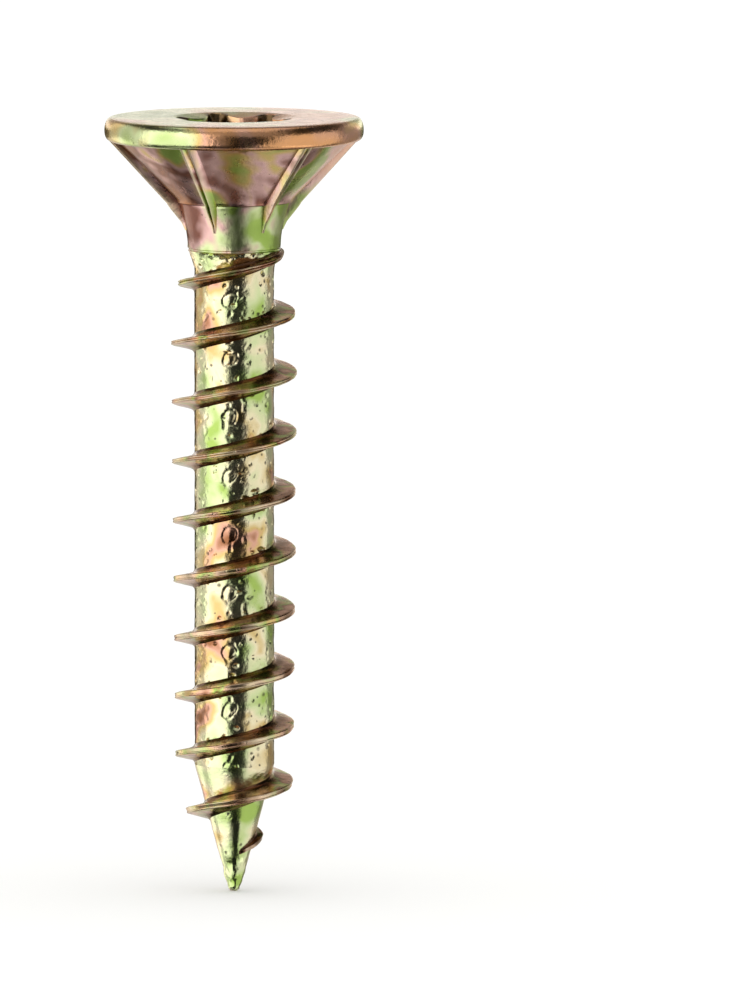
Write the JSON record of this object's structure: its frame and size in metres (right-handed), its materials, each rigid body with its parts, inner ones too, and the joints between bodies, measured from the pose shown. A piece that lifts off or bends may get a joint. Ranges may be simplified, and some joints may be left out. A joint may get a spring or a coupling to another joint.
{
  "type": "wood screw",
  "caption": "Countersunk wood screw with a six-lobe recess, cutting ribs under the head, a short neck and a coarse full thread to a sharp point",
  "frame": {"origin": "the centre of the head's flat face, which lies flush with the timber when the screw is driven home", "axes": "+Z points out of the head along the screw's axis, so the screw runs down to -Z; turning about +Z from +X, the recess's first lobe is at -10 degrees and the first rib at 6.5 degrees"},
  "size_m": [0.01, 0.01, 0.03],
  "materials": {
    "yellow_zinc_steel": "case-hardened steel, bright zinc plated and yellow passivated: glossy brass-like gold with green and pink iridescence, small rolling pits"
  },
  "bodies": {
    "root": {"head": "yellow_zinc_steel", "cutting_ribs": "yellow_zinc_steel", "neck": "yellow_zinc_steel", "core": "yellow_zinc_steel", "thread": "yellow_zinc_steel", "point": "yellow_zinc_steel"}
  },
  "joints": []
}
